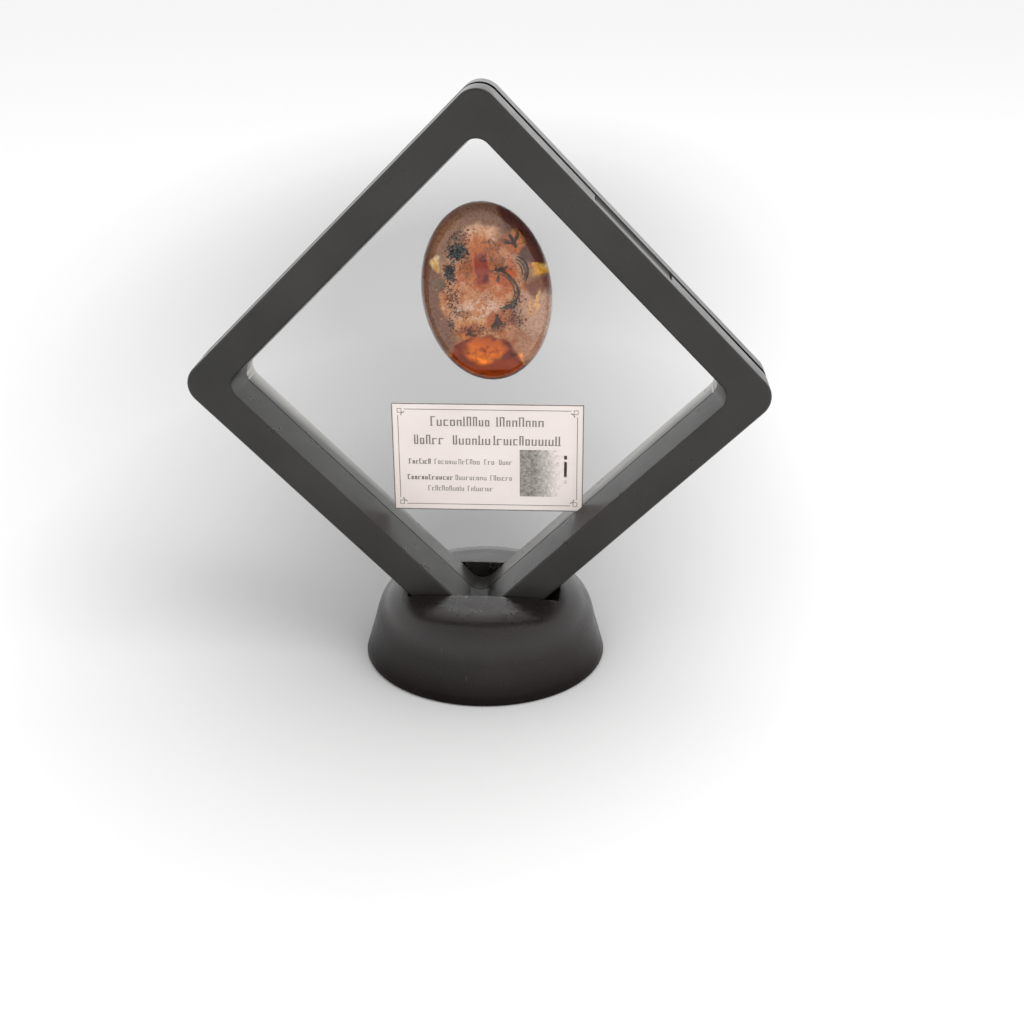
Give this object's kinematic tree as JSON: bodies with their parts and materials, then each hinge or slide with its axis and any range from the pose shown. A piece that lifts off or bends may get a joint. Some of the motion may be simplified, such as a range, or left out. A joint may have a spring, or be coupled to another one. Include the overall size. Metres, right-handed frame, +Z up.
{
  "type": "insect in amber display",
  "caption": "Oval polished amber stone with insects inside, held between two clear films in a black diamond frame on a round slotted stand.",
  "frame": {"origin": "centre of the whole display's footprint, on the flat underside of the stand", "axes": "+Z up, the front of the frame towards -Y, +X to the viewer's right"},
  "size_m": [0.1514, 0.0668, 0.1553],
  "materials": {
    "satin_black": "satin moulded plastic",
    "clear_film": "clear glossy elastic film",
    "card_paper": "matt printed card",
    "amber": "polished clear orange-brown amber",
    "insect_brown": "dark brown chitin"
  },
  "bodies": {
    "root": {"stand": "satin_black", "frame_front": "satin_black", "frame_back": "satin_black", "film_front": "clear_film", "film_back": "clear_film", "label_card": "card_paper", "amber_front": "amber", "amber_back": "amber", "insect_upper": "insect_brown", "insect_middle": "insect_brown", "insect_lower": "insect_brown"}
  },
  "joints": []
}
